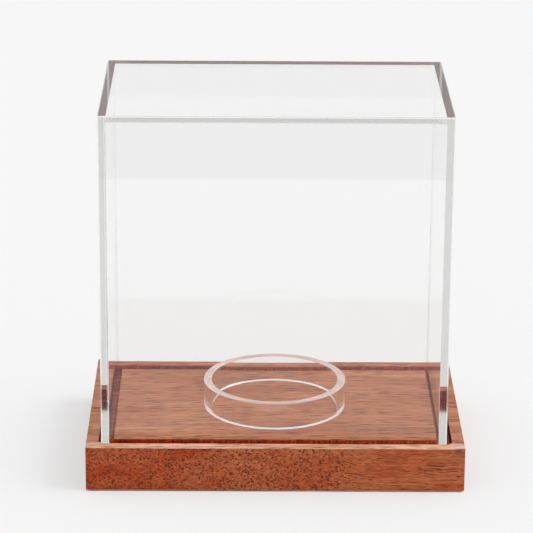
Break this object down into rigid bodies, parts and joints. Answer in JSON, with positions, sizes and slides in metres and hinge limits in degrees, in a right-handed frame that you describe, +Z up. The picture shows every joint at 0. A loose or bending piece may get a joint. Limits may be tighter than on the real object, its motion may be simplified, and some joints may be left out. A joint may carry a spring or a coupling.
{
  "type": "hockey puck display case",
  "caption": "Clear lift-off display cover standing in a routed groove of a wooden base, with a clear ring on the base that keeps a hockey puck centred.",
  "frame": {"origin": "on the table under the middle of the base", "axes": "+Z up, front face towards -Y, +X to the right seen from the front"},
  "size_m": [0.2304, 0.1524, 0.2338],
  "materials": {
    "wood": "thin satin oil on reddish-brown hardwood",
    "clear_sheet": "clear acrylic sheet with polished edges",
    "clear_tube": "clear acrylic tube with sawn rims",
    "pad": "matt black"
  },
  "bodies": {
    "base": {"base_block": "wood", "pad_front_left": "pad", "pad_front_right": "pad", "pad_back_left": "pad", "pad_back_right": "pad"},
    "cover": {"front_panel": "clear_sheet", "back_panel": "clear_sheet", "left_panel": "clear_sheet", "right_panel": "clear_sheet", "top_panel": "clear_sheet"},
    "ring": {"puck_ring": "clear_tube"}
  },
  "joints": [
    {"name": "cover_lift", "type": "slide", "parent": "base", "child": "cover", "axis": [0, 0, 1], "range_m": [0, 0.1]},
    {"name": "ring_lift", "type": "slide", "parent": "base", "child": "ring", "axis": [0, 0, 1], "range_m": [0, 0.03]}
  ]
}
